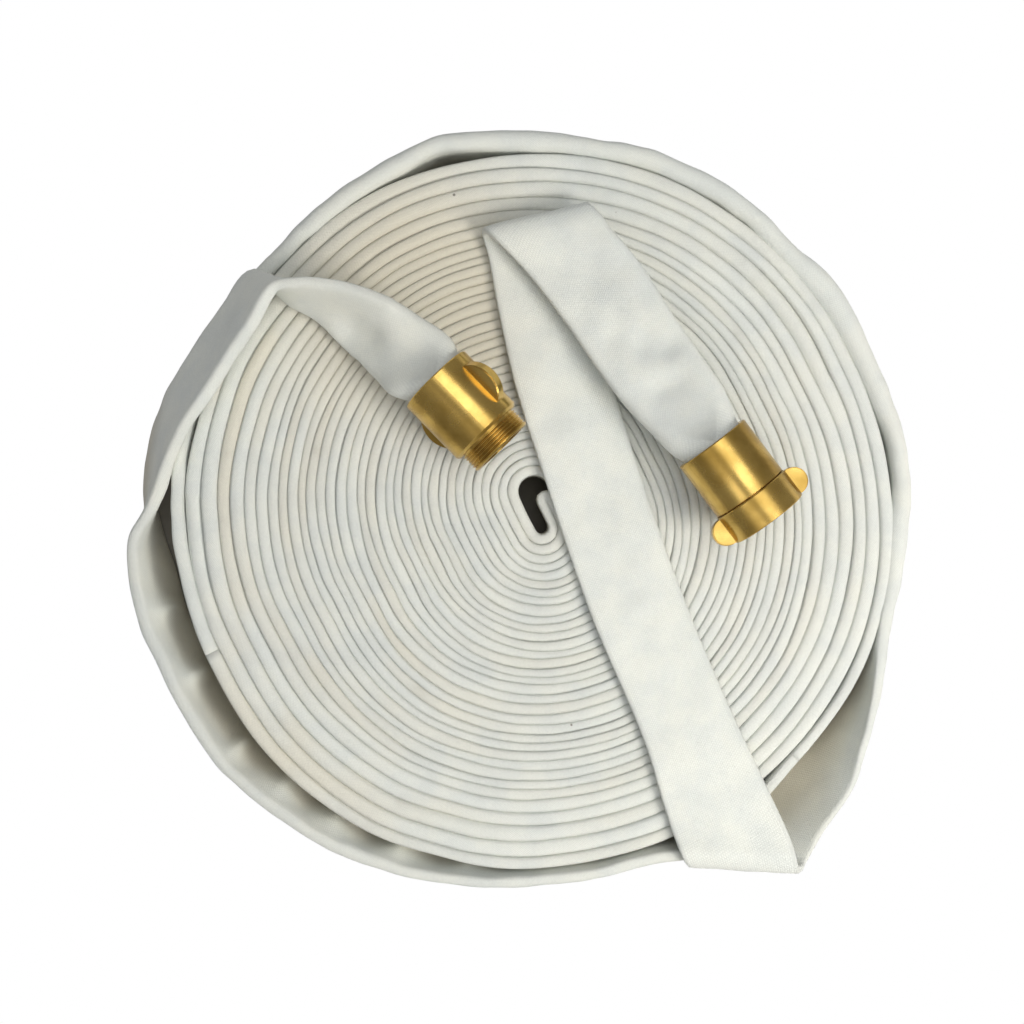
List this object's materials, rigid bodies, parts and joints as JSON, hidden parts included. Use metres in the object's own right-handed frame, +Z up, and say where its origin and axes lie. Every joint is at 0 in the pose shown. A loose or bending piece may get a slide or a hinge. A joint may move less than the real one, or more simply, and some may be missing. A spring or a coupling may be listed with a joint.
{
  "type": "rolled fire hose",
  "caption": "Flat woven fire hose folded in half and rolled up on its edge, with a threaded brass coupling on each end lying on top of the roll.",
  "frame": {"origin": "below the middle of the whole, on the plane that the roll lies on", "axes": "+Z up along the roll's axis, +X to the right and +Y away in the view from above with the male coupling at the upper left"},
  "size_m": [0.5634, 0.5448, 0.1343],
  "materials": {
    "canvas": "woven canvas, off-white",
    "liner_rubber": "smooth rubber lining",
    "gasket_rubber": "matt",
    "brass": "satin",
    "steel": "ground"
  },
  "bodies": {
    "hose": {"rolled_hose": "canvas", "male_turn_outer_jacket": "canvas", "male_turn_inner_jacket": "canvas", "male_turn_liner": "liner_rubber", "male_tail_outer_jacket": "canvas", "male_tail_inner_jacket": "canvas", "male_tail_liner": "liner_rubber", "female_turn_outer_jacket": "canvas", "female_turn_inner_jacket": "canvas", "female_turn_liner": "liner_rubber", "female_tail_outer_jacket": "canvas", "female_tail_inner_jacket": "canvas", "female_tail_liner": "liner_rubber", "male_shank": "brass", "male_expansion_ring": "brass", "male_tail_gasket": "gasket_rubber", "female_shank": "brass", "female_expansion_ring": "brass", "female_tail_gasket": "gasket_rubber"},
    "swivel": {"female_swivel": "brass", "swivel_seal": "gasket_rubber", "ball_race_screw": "steel"},
    "balls": {"swivel_balls": "steel"}
  },
  "joints": [
    {"name": "swivel_turn", "type": "hinge", "parent": "hose", "child": "swivel", "pos_m": [0.16025, 0.00731, 0.106], "axis": [0.6032, -0.7976, 0], "continuous": true},
    {"name": "ball_orbit", "type": "hinge", "parent": "hose", "child": "balls", "pos_m": [0.16025, 0.00731, 0.106], "axis": [0.6032, -0.7976, 0], "continuous": true}
  ],
  "couplings": [
    {"joint": "ball_orbit", "follows": "swivel_turn", "ratio": 0.5}
  ]
}
